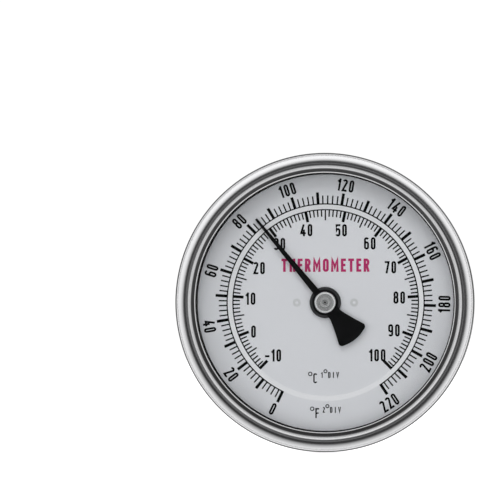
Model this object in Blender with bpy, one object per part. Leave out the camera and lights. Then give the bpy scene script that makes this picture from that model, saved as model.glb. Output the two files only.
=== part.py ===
"""Dial thermometer on a 1.5 inch sanitary clamp flange, built as separate working pieces.

The origin is the centre of the flange's sealing face. The stem points along +Y into the
vessel, the dial faces -Y, and 12 o'clock on the dial is +Z.

Every piece is drawn in the dial's own view: X to the right, Y to 12 o'clock, Z towards the
reader. Z = 0 is the sealing face, the stem is at negative Z and the dial at positive Z.
The empty thermometer_axis turns that view into the object's frame. Sizes are in millimetres.
"""
import math

import bmesh
import bpy
from mathutils import Matrix

MM = 0.001
GAP = 0.3            # left between pieces that touch
ROUND = 40           # facets round the large turned pieces
ROUND_SMALL = 20     # facets round the small turned pieces

# Clamp flange, the standard 1.5 inch ferrule
FLANGE_R = 50.5 / 2
FLANGE_RIM = 2.85
FLANGE_THICK = 6.35
CLAMP_TAPER = math.radians(20)
GROOVE_MEAN_R = 43.5 / 2
GROOVE_HALF_WIDTH = 1.75
GROOVE_DEPTH = 1.5
WELD_RECESS_R = 4.8
WELD_RECESS_DEPTH = 0.3

# Stem and neck
STEM_R = 3.0
STEM_BORE_R = 2.5
STEM_LENGTH = 50.5
NECK_R = 4.8
NECK_BORE_R = 3.8

# Case: a stepped cup with a rolled flange at its mouth
BACK = 44.3          # outer face of the back plate
SHEET = 0.8
PLATE_R = 33.4
UPPER_WALL_R = 34.9
LOWER_WALL_R = 36.8
WAIST_R = 36.65
WALL_STEP = BACK + 4.4
WAIST = BACK + 9.7
CURL_TOP = BACK + 12.1
CURL_R = (37.8, 39.3)
LIP_R = 40.3
LIP_REAR = BACK + 14.1
LIP_FRONT = LIP_REAR + SHEET
MOUTH_R = 36.15

# Window and bezel, stacked in front of the case's lip
WINDOW_R = 40.2
GASKET_INNER_R = 35.7
GASKET_REAR = LIP_FRONT + GAP
GASKET_FRONT = GASKET_REAR + 1.4
LENS_REAR = GASKET_FRONT + GAP
LENS_FRONT = LENS_REAR + 1.9
BEZEL_R = 83.0 / 2
BEZEL_BORE_R = 40.7
BEZEL_REAR = LIP_REAR - 1.4
BEZEL_OPENING_R = 36.1
BEZEL_UNDER = LENS_FRONT + GAP
BEZEL_FRONT = BEZEL_UNDER + 1.7

# Dial, with its middle set back by one step
DIAL_R = 35.8
DIAL_SHEET = 0.6
DIAL_FACE = LIP_FRONT - 0.9
DIAL_STEP = 0.6
DIAL_STEP_R = (26.1, 27.3)
DIAL_HOLE_R = 2.2
RIVET_PLACE_R = 8.0
RIVET_SHANK_R = 0.55
RIVET_HOLE_R = 0.85

# Scale: 1.3685 degrees of arc for each degree Fahrenheit, upright at 113 degrees Fahrenheit
ARC_PER_F = math.radians(1.3685)
UPRIGHT_F = 113
REST_F = 84

# Pointer
SPINDLE_R = 0.75
SPINDLE_BORE_R = SPINDLE_R + GAP
POINTER_TIP_R = 30.0
POINTER_TIP_WIDTH = 0.65
POINTER_ROOT_WIDTH = 1.9
POINTER_EYE_R = 3.6
TAIL_ROOT_HALF = 1.9
TAIL_END_HALF = 4.375
TAIL_ROOT_R = 4.4
TAIL_END_R = 13.2
TAIL_CORNER_R = 1.1
COLLAR_R = 4.37
COLLAR_REAR = DIAL_FACE + GAP
BLADE_REAR = COLLAR_REAR + 0.9
BLADE_FRONT = BLADE_REAR + 0.3
HUB_R = 2.97
HUB_REAR = BLADE_FRONT + 0.1
HUB_FRONT = HUB_REAR + 0.9

# Calibration gearing: a sector on the dial carrier and a pinion on the screw
MODULE = 0.8
SECTOR_TEETH = 54    # on the full circle
SECTOR_CUT = 9       # teeth that the sector keeps
PINION_TEETH = 12
PRESSURE_ANGLE = math.radians(20)
ADDENDUM = 0.75 * MODULE
DEDENDUM = 1.25 * MODULE
BACKLASH = 0.24      # taken off each tooth's thickness
SCREW_PLACE_R = MODULE * (SECTOR_TEETH + PINION_TEETH) / 2
GEAR_REAR = BACK + SHEET + 1.1
GEAR_FRONT = GEAR_REAR + 1.0
SCREW_FLATS = 6.35
SCREW_HEAD = 2.4
SCREW_SHAFT_R = 1.6
SCREW_HOLE_R = 1.9

# Guide bushing and the carrier that turns on it
BUSHING_R = 3.5
BUSHING_REAR = BACK - 4.0
BUSHING_FRONT = DIAL_FACE - 0.9
CARRIER_BORE_R = BUSHING_R + GAP
CARRIER_SLEEVE_R = 5.2
CARRIER_FLANGE_R = 10.6
CARRIER_DISH_R = 5.6
CARRIER_REAR = GEAR_REAR
CARRIER_SEAT = DIAL_FACE - DIAL_SHEET - GAP

# Bimetal helix in the stem, hung between the spindle's end and an anchor near the tip
HELIX_R = (1.85, 2.1)
HELIX_WIDTH = 1.6
HELIX_TURNS = 10
HELIX_PITCH = 2.3
HELIX_TOP = -20.0
HELIX_STEPS_PER_TURN = 12

# colour, roughness, metallic
MATERIALS = {
    "stainless": ((0.62, 0.62, 0.63, 1), 0.28, 1.0),
    "weld_steel": ((0.68, 0.67, 0.65, 1), 0.35, 1.0),
    "brass": ((0.74, 0.56, 0.26, 1), 0.35, 1.0),
    "spring_steel": ((0.42, 0.43, 0.45, 1), 0.35, 1.0),
    "glass": ((0.93, 0.96, 0.97, 1), 0.03, 0.0),
    "black_rubber": ((0.02, 0.02, 0.02, 1), 0.65, 0.0),
    "dial_silver": ((0.78, 0.78, 0.79, 1), 0.45, 0.0),
    "black_paint": ((0.015, 0.015, 0.016, 1), 0.55, 0.0),
    "turned_steel": ((0.66, 0.66, 0.67, 1), 0.3, 1.0),
}


def clear_scene():
    """Removes the objects that the file starts with."""
    for obj in list(bpy.data.objects):
        bpy.data.objects.remove(obj, do_unlink=True)


def axis_empty():
    """The empty that turns the dial's view into the object's frame."""
    empty = bpy.data.objects.new("thermometer_axis", None)
    empty.rotation_euler = (math.pi / 2, 0, 0)
    bpy.context.collection.objects.link(empty)
    return empty


def new_material(name, suffix):
    """A Principled material of its own for one piece."""
    colour, roughness, metallic = MATERIALS[name]
    material = bpy.data.materials.new(f"{name}_{suffix}")
    material.use_nodes = True
    shader = material.node_tree.nodes["Principled BSDF"]
    shader.inputs["Base Color"].default_value = colour
    shader.inputs["Roughness"].default_value = roughness
    shader.inputs["Metallic"].default_value = metallic
    return material


def add_piece(name, bm, material, place=(0, 0), turn=0.0):
    """Makes a named object from a mesh drawn in millimetres about its own axis."""
    bmesh.ops.recalc_face_normals(bm, faces=bm.faces)
    bm.transform(Matrix.Scale(MM, 4))
    mesh = bpy.data.meshes.new(name)
    bm.to_mesh(mesh)
    bm.free()
    mesh.shade_smooth()
    mesh.set_sharp_from_angle(angle=math.radians(35))
    piece = bpy.data.objects.new(name, mesh)
    piece.data.materials.append(new_material(material, name))
    piece.parent = AXIS
    piece.location = (place[0] * MM, place[1] * MM, 0)
    piece.rotation_euler = (0, 0, turn)
    bpy.context.collection.objects.link(piece)
    return piece


def turned(name, outline, material, segments=ROUND, place=(0, 0)):
    """A turned piece. The outline is a closed loop of (radius, Z), or runs from axis to axis."""
    bm = bmesh.new()
    verts = [bm.verts.new((radius, 0, z)) for radius, z in outline]
    edges = [bm.edges.new(pair) for pair in zip(verts, verts[1:])]
    if outline[0][0] > 0:
        edges.append(bm.edges.new((verts[-1], verts[0])))
    bmesh.ops.spin(bm, geom=verts + edges, cent=(0, 0, 0), axis=(0, 0, 1),
                   angle=2 * math.pi, steps=segments, use_merge=True)
    bmesh.ops.remove_doubles(bm, verts=bm.verts, dist=0.001)
    return add_piece(name, bm, material, place)


def ring(name, inner, outer, rear, front, material, segments=ROUND, place=(0, 0)):
    """A plain turned ring."""
    outline = [(inner, front), (outer, front), (outer, rear), (inner, rear)]
    return turned(name, outline, material, segments, place)


def circle_points(radius, count, centre=(0, 0)):
    """Points evenly round a circle."""
    steps = [2 * math.pi * k / count for k in range(count)]
    return [(centre[0] + radius * math.cos(a), centre[1] + radius * math.sin(a)) for a in steps]


def plate(name, outline, holes, rear, front, material, place=(0, 0), turn=0.0):
    """A flat piece: a filled outline with holes, extruded from rear to front."""
    bm = bmesh.new()
    for loop in [outline] + holes:
        verts = [bm.verts.new((x, y, rear)) for x, y in loop]
        for pair in zip(verts, verts[1:] + verts[:1]):
            bm.edges.new(pair)
    bmesh.ops.triangle_fill(bm, edges=bm.edges, use_beauty=True)
    swept = bmesh.ops.extrude_face_region(bm, geom=bm.faces[:])
    lifted = [item for item in swept["geom"] if isinstance(item, bmesh.types.BMVert)]
    bmesh.ops.translate(bm, verts=lifted, vec=(0, 0, front - rear))
    return add_piece(name, bm, material, place, turn)


def boolean(piece, tool, operation="DIFFERENCE"):
    """Cuts a piece with a hidden tool that has the piece's parent."""
    tool.hide_render = True
    tool.display_type = "WIRE"
    modifier = piece.modifiers.new(tool.name, "BOOLEAN")
    modifier.operation = operation
    modifier.object = tool


def drill(piece, radius, rear, front, place):
    """A round hole parallel to the axis."""
    name = f"drill_{piece.name}_{len(piece.modifiers)}"
    outline = [(0, front), (radius, front), (radius, rear), (0, rear)]
    boolean(piece, turned(name, outline, "turned_steel", 16, place))


def arc(centre, radius, first, last, steps):
    """Points along an arc, from the first to the last angle in degrees."""
    angles = [math.radians(first + (last - first) * k / steps) for k in range(steps + 1)]
    return [(centre[0] + radius * math.cos(a), centre[1] + radius * math.sin(a)) for a in angles]


def make_flange():
    """The clamp flange: sealing faces inside and outside the gasket groove, tapered behind."""
    taper_width = (FLANGE_THICK - FLANGE_RIM) / math.tan(CLAMP_TAPER)
    groove = []
    for k in range(7):
        across = 1 - 2 * k / 6
        depth = GROOVE_DEPTH * math.sqrt(max(0, 1 - across ** 2))
        groove.append((GROOVE_MEAN_R + across * GROOVE_HALF_WIDTH, depth))
    hole = STEM_R + GAP
    outline = [(hole, FLANGE_THICK), (FLANGE_R - taper_width, FLANGE_THICK), (FLANGE_R, FLANGE_RIM),
               (FLANGE_R, 0.3), (FLANGE_R - 0.3, 0)]
    outline += groove
    outline += [(WELD_RECESS_R, 0), (WELD_RECESS_R, WELD_RECESS_DEPTH), (hole, WELD_RECESS_DEPTH)]
    turned("flange", outline, "stainless")


def make_stem():
    """The stem tube, its welded end plug and the weld ring on the flange's face."""
    tip = STEM_LENGTH
    ring("stem_tube", STEM_BORE_R, STEM_R, -tip + 1.3, FLANGE_THICK - GAP, "stainless", ROUND_SMALL)
    spigot = STEM_BORE_R - GAP
    turned("stem_end_plug", [(0, -tip + 3.2), (spigot, -tip + 3.2), (spigot, -tip + 1.0), (STEM_R, -tip + 1.0),
                             (STEM_R, -tip + 0.5), (STEM_R - 0.5, -tip), (0, -tip)], "weld_steel", ROUND_SMALL)
    weld = STEM_R + 0.1
    turned("stem_weld_ring", [(weld, WELD_RECESS_DEPTH - 0.1), (4.5, WELD_RECESS_DEPTH - 0.1), (4.4, -0.35),
                              (4.0, -0.65), (weld, -0.75)], "weld_steel", ROUND_SMALL)


def make_neck():
    """The neck tube between the flange and the case, with a weld bead at each end."""
    rear = BACK - GAP
    ring("neck_tube", NECK_BORE_R, NECK_R, FLANGE_THICK + GAP, rear, "stainless", ROUND_SMALL)
    bead = NECK_R + 0.1
    for name, end, inward in (("neck_weld_flange", FLANGE_THICK + 0.1, 1), ("neck_weld_case", BACK - 0.1, -1)):
        turned(name, [(bead, end), (bead + 0.55, end), (bead + 0.4, end + inward * 0.5),
                      (bead, end + inward * 0.8)], "weld_steel", ROUND_SMALL)


def make_case():
    """The stepped cup: back plate, two walls, waist, rolled flange and lip."""
    inside = LIP_FRONT
    outline = [
        (NECK_BORE_R, BACK + SHEET), (NECK_BORE_R, BACK), (PLATE_R, BACK), (34.45, BACK + 0.45),
        (UPPER_WALL_R, BACK + 1.5), (UPPER_WALL_R, WALL_STEP), (LOWER_WALL_R, WALL_STEP + 1.6),
        (LOWER_WALL_R, WAIST), (WAIST_R, WAIST + 0.3), (WAIST_R, LIP_REAR),
        (CURL_R[0], LIP_REAR), (CURL_R[0], CURL_TOP + 0.5), (CURL_R[0] + 0.5, CURL_TOP),
        (CURL_R[1] - 0.5, CURL_TOP), (CURL_R[1], CURL_TOP + 0.5), (CURL_R[1], LIP_REAR),
        (LIP_R, LIP_REAR), (LIP_R, inside), (MOUTH_R, inside), (MOUTH_R, WALL_STEP + 2.2),
        (UPPER_WALL_R - SHEET, WALL_STEP + 0.6), (UPPER_WALL_R - SHEET, BACK + 1.8),
        (PLATE_R - 0.2, BACK + SHEET),
    ]
    case = turned("rear_case", outline, "stainless")
    drill(case, SCREW_HOLE_R, BACK - 1, BACK + SHEET + 1, (0, -SCREW_PLACE_R))


def make_bezel():
    """The bezel: a channel that grips the case's lip, with two beads on its front."""
    front = BEZEL_FRONT
    outline = [
        (BEZEL_R, BEZEL_REAR + 1.0), (BEZEL_R, front - 0.9), (BEZEL_R - 0.35, front - 0.25), (40.4, front),
        (39.6, front - 0.25), (38.8, front - 1.0), (38.2, front - 0.75), (37.5, front - 0.6),
        (36.8, front - 0.85), (BEZEL_OPENING_R, front - 1.4), (BEZEL_OPENING_R, BEZEL_UNDER),
        (BEZEL_BORE_R, BEZEL_UNDER), (BEZEL_BORE_R, LIP_REAR - GAP), (39.6, LIP_REAR - GAP),
        (39.6, BEZEL_REAR + 0.4), (40.2, BEZEL_REAR), (41.0, BEZEL_REAR + 0.3),
    ]
    turned("bezel_ring", outline, "stainless")


def make_window():
    """The flat glass and the gasket that it presses on the case's lip."""
    turned("lens", [(0, LENS_FRONT), (WINDOW_R, LENS_FRONT), (WINDOW_R, LENS_REAR), (0, LENS_REAR)], "glass")
    ring("window_gasket", GASKET_INNER_R, WINDOW_R, GASKET_REAR, GASKET_FRONT, "black_rubber")


def make_dial():
    """The dial plate and the two rivets that hold it on the carrier."""
    rear = DIAL_FACE - DIAL_SHEET
    outer_rear = rear + DIAL_STEP
    inner_r, outer_r = DIAL_STEP_R
    outline = [(DIAL_HOLE_R, DIAL_FACE), (inner_r, DIAL_FACE), (outer_r, DIAL_FACE + DIAL_STEP),
               (DIAL_R, DIAL_FACE + DIAL_STEP), (DIAL_R, outer_rear), (outer_r + 0.2, outer_rear),
               (inner_r + 0.2, rear), (DIAL_HOLE_R, rear)]
    dial = turned("dial_plate", outline, "dial_silver")
    seat = CARRIER_SEAT - SHEET
    for name, side in (("dial_rivet_left", -1), ("dial_rivet_right", 1)):
        place = (side * RIVET_PLACE_R, 0)
        drill(dial, RIVET_HOLE_R, rear - 1, DIAL_FACE + 1, place)
        turned(name, [(0, DIAL_FACE + 0.28), (0.6, DIAL_FACE + 0.25), (1.05, DIAL_FACE + 0.08),
                      (RIVET_SHANK_R, DIAL_FACE + 0.08), (RIVET_SHANK_R, seat - 0.3), (1.1, seat - 0.3),
                      (1.1, seat - 0.8), (0, seat - 0.8)], "dial_silver", 16, place)


def make_carrier():
    """The sleeve that carries the dial on the bushing, with its friction washer and clip."""
    dish = BUSHING_FRONT - 1.9
    outline = [
        (CARRIER_BORE_R, dish + SHEET), (CARRIER_DISH_R + 0.3, dish + SHEET), (CARRIER_DISH_R + 0.8, CARRIER_SEAT),
        (CARRIER_FLANGE_R, CARRIER_SEAT), (CARRIER_FLANGE_R, CARRIER_SEAT - SHEET),
        (CARRIER_DISH_R + 1.2, CARRIER_SEAT - SHEET), (CARRIER_DISH_R + 0.6, dish), (CARRIER_SLEEVE_R, dish),
        (CARRIER_SLEEVE_R, CARRIER_REAR), (CARRIER_BORE_R, CARRIER_REAR),
    ]
    carrier = turned("dial_carrier", outline, "brass", ROUND_SMALL)
    for side in (-1, 1):
        drill(carrier, RIVET_HOLE_R, CARRIER_SEAT - 2, CARRIER_SEAT + 1, (side * RIVET_PLACE_R, 0))
    ring("friction_washer", CARRIER_BORE_R, 7.4, BACK + SHEET + GAP, CARRIER_REAR - GAP, "spring_steel", ROUND_SMALL)
    clip_rear = dish + SHEET + GAP
    opening = 40
    outline = arc((0, 0), 4.9, 90 + opening, 450 - opening, 20) + arc((0, 0), 3.1, 450 - opening, 90 + opening, 20)
    plate("carrier_clip", outline, [], clip_rear, clip_rear + 0.4, "spring_steel")


def make_bushing():
    """The guide bushing fixed in the neck, grooved near its front for the clip."""
    groove_rear = BUSHING_FRONT - 1.9 + SHEET + 0.1
    turned("guide_bushing", [
        (SPINDLE_BORE_R, BUSHING_FRONT), (BUSHING_R, BUSHING_FRONT), (BUSHING_R, groove_rear + 0.8),
        (2.8, groove_rear + 0.8), (2.8, groove_rear), (BUSHING_R, groove_rear), (BUSHING_R, BUSHING_REAR),
        (SPINDLE_BORE_R, BUSHING_REAR)], "brass", ROUND_SMALL)
    ring("neck_guide", SPINDLE_BORE_R, NECK_BORE_R - GAP, 22.0, 24.0, "brass", ROUND_SMALL)
    ring("stem_guide", SPINDLE_BORE_R, STEM_BORE_R - GAP, -11.0, -9.0, "brass", ROUND_SMALL)


def involute_angle(radius, base):
    """The involute function at a radius, for a base circle."""
    pressure = math.acos(min(1.0, base / radius))
    return math.tan(pressure) - pressure


def tooth(teeth, middle):
    """The outline of one tooth about its middle angle, with the angle rising."""
    pitch_r = MODULE * teeth / 2
    base = pitch_r * math.cos(PRESSURE_ANGLE)
    half = (math.pi * MODULE / 2 - BACKLASH) / 2 / pitch_r + involute_angle(pitch_r, base)
    root, top = pitch_r - DEDENDUM, pitch_r + ADDENDUM
    flank_start = max(base, root)
    radii = [flank_start + (top - flank_start) * k / 3 for k in range(4)]
    flank = [(r, half - involute_angle(r, base)) for r in radii]
    if base > root:
        flank.insert(0, (root, half))
    points = [(r, middle - a) for r, a in flank] + [(r, middle + a) for r, a in reversed(flank)]
    return [(r * math.cos(a), r * math.sin(a)) for r, a in points]


def make_calibration():
    """The sector gear on the carrier, and the screw whose pinion turns it."""
    step = 2 * math.pi / SECTOR_TEETH
    down = -math.pi / 2
    outline = []
    for k in range(SECTOR_CUT):
        outline += tooth(SECTOR_TEETH, down + (k - (SECTOR_CUT - 1) / 2) * step)
    hub_r = 9.0
    outline += arc((0, 0), hub_r, -40, 220, 18)
    bore = circle_points(CARRIER_SLEEVE_R + GAP, ROUND_SMALL)
    plate("dial_gear", outline, [bore], GEAR_REAR, GEAR_FRONT, "brass")

    place = (0, -SCREW_PLACE_R)
    outline = []
    for k in range(PINION_TEETH):
        outline += tooth(PINION_TEETH, math.pi / 2 + (k + 0.5) * 2 * math.pi / PINION_TEETH)
    bore = circle_points(SCREW_SHAFT_R + GAP, 16)
    plate("calibration_pinion", outline, [bore], GEAR_REAR - 0.2, GEAR_FRONT + 0.4, "brass", place)
    ring("calibration_clip", SCREW_SHAFT_R + 0.1, 3.1, GEAR_FRONT + 0.8, GEAR_FRONT + 1.4, "spring_steel", 16, place)
    make_screw(place)


def make_screw(place):
    """The slotted hexagon screw, with its seal in a recess under the head."""
    head_rear = BACK - GAP
    head_top = head_rear - SCREW_HEAD
    corner_r = SCREW_FLATS / math.sqrt(3)
    recess_r, recess_depth = 2.75, 0.9
    outline = [
        (0, head_top), (2.4, head_top), (corner_r, head_top + 0.75), (corner_r, head_rear), (recess_r, head_rear),
        (recess_r, head_rear - recess_depth), (SCREW_SHAFT_R, head_rear - recess_depth),
        (SCREW_SHAFT_R, GEAR_FRONT + 2.0), (0, GEAR_FRONT + 2.0),
    ]
    screw = turned("calibration_screw", outline, "stainless", 24, place)
    flats = [(corner_r * math.sin(k * math.pi / 3), corner_r * math.cos(k * math.pi / 3)) for k in range(6)]
    prism = plate("screw_flats", flats, [], head_top - 1, GEAR_FRONT + 3, "stainless", place)
    boolean(screw, prism, "INTERSECT")
    half = 0.45
    slot = [(-6, -half), (6, -half), (6, half), (-6, half)]
    boolean(screw, plate("screw_slot", slot, [], head_top - 1, head_top + 0.95, "stainless", place))
    ring("calibration_seal", 1.8, 2.5, head_rear - 0.7, head_rear, "black_rubber", 16, place)


def pointer_outline():
    """Half of the pointer from the tip to the middle of the tail, then mirrored."""
    eye = arc((0, 0), POINTER_EYE_R, 75, -60, 6)
    half = [(POINTER_TIP_WIDTH / 2, POINTER_TIP_R), (POINTER_ROOT_WIDTH / 2, POINTER_EYE_R * 1.05)]
    half += eye
    steps = 5
    for k in range(steps + 1):
        along = k / steps
        spread = along ** 1.25
        half.append((TAIL_ROOT_HALF + (TAIL_END_HALF - TAIL_ROOT_HALF) * spread,
                     -TAIL_ROOT_R - (TAIL_END_R - TAIL_CORNER_R - TAIL_ROOT_R) * along))
    half += arc((TAIL_END_HALF - TAIL_CORNER_R, -TAIL_END_R + TAIL_CORNER_R), TAIL_CORNER_R, -20, -75, 3)
    half.append((1.7, -TAIL_END_R - 0.35))
    return half + [(-x, y) for x, y in reversed(half)]


def make_pointer():
    """The pointer on its spindle: collar behind, hub in front."""
    turn = (UPRIGHT_F - REST_F) * ARC_PER_F
    bore = circle_points(SPINDLE_BORE_R, 16)
    plate("pointer", pointer_outline(), [bore], BLADE_REAR, BLADE_FRONT, "black_paint", turn=turn)
    turned("pointer_collar", [(SPINDLE_BORE_R, BLADE_REAR - 0.1), (COLLAR_R - 0.2, BLADE_REAR - 0.1),
                              (COLLAR_R, BLADE_REAR - 0.3), (COLLAR_R, COLLAR_REAR + 0.2), (3.0, COLLAR_REAR),
                              (SPINDLE_BORE_R, COLLAR_REAR)], "black_paint", ROUND_SMALL)
    spindle_front = HUB_REAR + 0.3
    turned("pointer_hub", [(0, HUB_FRONT - 0.15), (0.3, HUB_FRONT), (HUB_R - 0.2, HUB_FRONT),
                           (HUB_R, HUB_FRONT - 0.2), (HUB_R, HUB_REAR), (SPINDLE_BORE_R, HUB_REAR),
                           (SPINDLE_BORE_R, HUB_REAR + 0.5), (0, HUB_REAR + 0.5)], "turned_steel", ROUND_SMALL)
    spindle_rear = HELIX_TOP + 0.6
    turned("spindle", [(0, spindle_front), (SPINDLE_R, spindle_front), (SPINDLE_R, spindle_rear),
                       (0, spindle_rear)], "spring_steel", 16)
    ring("helix_drive_collar", SPINDLE_BORE_R - 0.15, HELIX_R[1], HELIX_TOP + 0.4, HELIX_TOP + 3.4,
         "brass", ROUND_SMALL)


def make_helix():
    """The bimetal strip wound into a helix, and the anchor that holds its far end."""
    bm = bmesh.new()
    corners = [(HELIX_R[0], 0), (HELIX_R[1], 0), (HELIX_R[1], -HELIX_WIDTH), (HELIX_R[0], -HELIX_WIDTH)]
    verts = [bm.verts.new((radius, 0, HELIX_TOP + z)) for radius, z in corners]
    edges = [bm.edges.new(pair) for pair in zip(verts, verts[1:] + verts[:1])]
    steps = HELIX_TURNS * HELIX_STEPS_PER_TURN
    bmesh.ops.spin(bm, geom=verts + edges, cent=(0, 0, 0), axis=(0, 0, 1),
                   dvec=(0, 0, -HELIX_PITCH / HELIX_STEPS_PER_TURN),
                   angle=2 * math.pi * HELIX_TURNS, steps=steps, use_merge=False)
    bmesh.ops.holes_fill(bm, edges=bm.edges, sides=4)
    add_piece("bimetal_helix", bm, "spring_steel")
    anchor = HELIX_TOP - HELIX_PITCH * HELIX_TURNS - HELIX_WIDTH - GAP
    turned("helix_anchor", [(0, anchor), (HELIX_R[1], anchor), (HELIX_R[1], anchor - 1.8), (0, anchor - 1.8)],
           "brass", ROUND_SMALL)


clear_scene()
AXIS = axis_empty()
make_flange()
make_stem()
make_neck()
make_case()
make_bezel()
make_window()
make_dial()
make_bushing()
make_carrier()
make_calibration()
make_pointer()
make_helix()
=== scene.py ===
"""Looks of the dial thermometer: turned stainless steel, glass, a printed dial and a studio.

Shapes are drawn in the dial's own view, in millimetres: x to the right, y to 12 o'clock and
t towards the reader, with t = 0 on the flange's sealing face. TO_ROW turns that view into the
frame's metres. Radii and depths come from the frame's nodes.
"""
import math

import bmesh
import bpy
from mathutils import Matrix, Vector


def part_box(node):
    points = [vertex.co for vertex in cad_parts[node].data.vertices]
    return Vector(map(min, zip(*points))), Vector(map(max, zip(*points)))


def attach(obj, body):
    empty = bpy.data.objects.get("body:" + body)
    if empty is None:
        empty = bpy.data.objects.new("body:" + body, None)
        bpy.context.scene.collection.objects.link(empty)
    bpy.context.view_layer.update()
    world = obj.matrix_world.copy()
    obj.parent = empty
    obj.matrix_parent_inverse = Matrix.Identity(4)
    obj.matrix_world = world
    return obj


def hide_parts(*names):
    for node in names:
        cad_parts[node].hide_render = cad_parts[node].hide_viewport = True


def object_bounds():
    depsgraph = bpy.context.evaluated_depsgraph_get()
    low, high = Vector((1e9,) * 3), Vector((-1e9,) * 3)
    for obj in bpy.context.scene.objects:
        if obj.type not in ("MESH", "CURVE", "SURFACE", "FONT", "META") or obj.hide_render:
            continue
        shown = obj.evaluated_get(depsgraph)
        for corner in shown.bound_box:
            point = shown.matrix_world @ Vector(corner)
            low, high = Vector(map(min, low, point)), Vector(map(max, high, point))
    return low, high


MM = 0.001
TO_ROW = Matrix.Rotation(math.pi / 2, 4, "X") @ Matrix.Scale(MM, 4)
SEGMENTS = 256
SMALL_SEGMENTS = 96

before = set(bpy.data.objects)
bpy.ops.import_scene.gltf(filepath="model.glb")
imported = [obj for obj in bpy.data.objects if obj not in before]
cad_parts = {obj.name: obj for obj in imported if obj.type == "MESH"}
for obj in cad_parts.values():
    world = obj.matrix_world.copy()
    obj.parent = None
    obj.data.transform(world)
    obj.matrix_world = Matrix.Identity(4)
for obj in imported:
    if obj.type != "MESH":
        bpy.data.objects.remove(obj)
cad_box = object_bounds()


# ---------------------------------------------------------------- measures from the frame

def span(node):
    """(outer radius, rear t, front t) of a node that is centred on the axis, in millimetres."""
    low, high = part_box(node)
    return high.x / MM, -high.y / MM, -low.y / MM


# ---------------------------------------------------------------- shapes

def rounded(corners, closed=True, steps=6):
    """An outline of (radius, t, fillet) corners, each rounded as far as its fillet or its sides allow."""
    spots = [Vector(corner[:2]) for corner in corners]
    count = len(corners)
    halves = [0.0] * count
    reaches = [0.0] * count
    for k in range(count):
        if corners[k][2] > 0 and (closed or 0 < k < count - 1):
            halves[k] = (spots[k - 1] - spots[k]).angle(spots[(k + 1) % count] - spots[k]) / 2
            reaches[k] = corners[k][2] / math.tan(halves[k])
    points = []
    for k, here in enumerate(spots):
        if not reaches[k]:
            points.append(tuple(here))
            continue
        around = (k - 1, (k + 1) % count)
        shares = [(spots[j] - here).length / (reaches[k] + reaches[j]) for j in around]
        reach = reaches[k] * min(1.0, *shares)
        start, end = ((spots[j] - here).normalized() * reach for j in around)
        middle = (start + end).normalized() * (reach / math.cos(halves[k]))
        sweep = (start - middle).angle_signed(end - middle)
        for j in range(steps + 1):
            turn = Matrix.Rotation(-sweep * j / steps, 2)
            points.append(tuple(here + middle + turn @ (start - middle)))
    return points


def add_mesh(name, bm, material, place=(0, 0)):
    """Makes an object from a mesh drawn in the dial's view, at a place on the dial's plane.

    Its normals are weighted by area, so that a flat face stays flat beside a rounded edge.
    """
    bmesh.ops.recalc_face_normals(bm, faces=bm.faces)
    bm.transform(TO_ROW @ Matrix.Translation((place[0], place[1], 0)))
    mesh = bpy.data.meshes.new(name)
    bm.to_mesh(mesh)
    bm.free()
    mesh.shade_smooth()
    mesh.set_sharp_from_angle(angle=math.radians(40))
    obj = bpy.data.objects.new(name, mesh)
    mesh.materials.append(material)
    bpy.context.collection.objects.link(obj)
    weighted = obj.modifiers.new("normals", "WEIGHTED_NORMAL")
    weighted.keep_sharp = True
    return obj


def lathe(name, outline, material, segments=SEGMENTS, place=(0, 0)):
    """A turned piece. The outline is a closed loop of (radius, t), or runs from axis to axis."""
    bm = bmesh.new()
    verts = [bm.verts.new((radius, 0, t)) for radius, t in outline]
    edges = [bm.edges.new(pair) for pair in zip(verts, verts[1:])]
    if outline[0][0] > 0:
        edges.append(bm.edges.new((verts[-1], verts[0])))
    bmesh.ops.spin(bm, geom=verts + edges, cent=(0, 0, 0), axis=(0, 0, 1),
                   angle=2 * math.pi, steps=segments, use_merge=True)
    bmesh.ops.remove_doubles(bm, verts=bm.verts, dist=0.0005)
    return add_mesh(name, bm, material, place)


def prism(name, outline, holes, rear, front, material, place=(0, 0)):
    """A flat piece between two depths, with holes."""
    bm = bmesh.new()
    for loop in [outline] + holes:
        verts = [bm.verts.new((x, y, rear)) for x, y in loop]
        for pair in zip(verts, verts[1:] + verts[:1]):
            bm.edges.new(pair)
    bmesh.ops.triangle_fill(bm, edges=bm.edges, use_beauty=True)
    swept = bmesh.ops.extrude_face_region(bm, geom=bm.faces[:])
    lifted = [item for item in swept["geom"] if isinstance(item, bmesh.types.BMVert)]
    bmesh.ops.translate(bm, verts=lifted, vec=(0, 0, front - rear))
    return add_mesh(name, bm, material, place)


def arc(centre, radii, first, last, steps=10):
    """Points along an elliptical arc, from the first to the last angle in degrees."""
    angles = [math.radians(first + (last - first) * k / steps) for k in range(steps + 1)]
    return [(centre[0] + radii[0] * math.cos(a), centre[1] + radii[1] * math.sin(a)) for a in angles]


def circle(radius, count, centre=(0, 0)):
    """Points evenly round a circle."""
    return arc(centre, (radius, radius), 0, 360, count)[:-1]


def bevel(obj, width, segments=3):
    """Rounds an object's edges, by a width in millimetres."""
    modifier = obj.modifiers.new("edge", "BEVEL")
    modifier.width = width * MM
    modifier.segments = segments
    modifier.limit_method = "ANGLE"
    modifier.angle_limit = math.radians(40)
    obj.modifiers.move(len(obj.modifiers) - 1, 0)


def carve(obj, operation, tool):
    """Applies a boolean with a tool, and removes the tool."""
    cut = obj.modifiers.new(tool.name, "BOOLEAN")
    cut.operation = operation
    cut.object = tool
    obj.modifiers.move(len(obj.modifiers) - 1, 0)
    with bpy.context.temp_override(object=obj, active_object=obj):
        bpy.ops.object.modifier_apply(modifier=cut.name)
    bpy.data.objects.remove(tool, do_unlink=True)
    obj.data.set_sharp_from_angle(angle=math.radians(30))


# ---------------------------------------------------------------- materials

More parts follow.
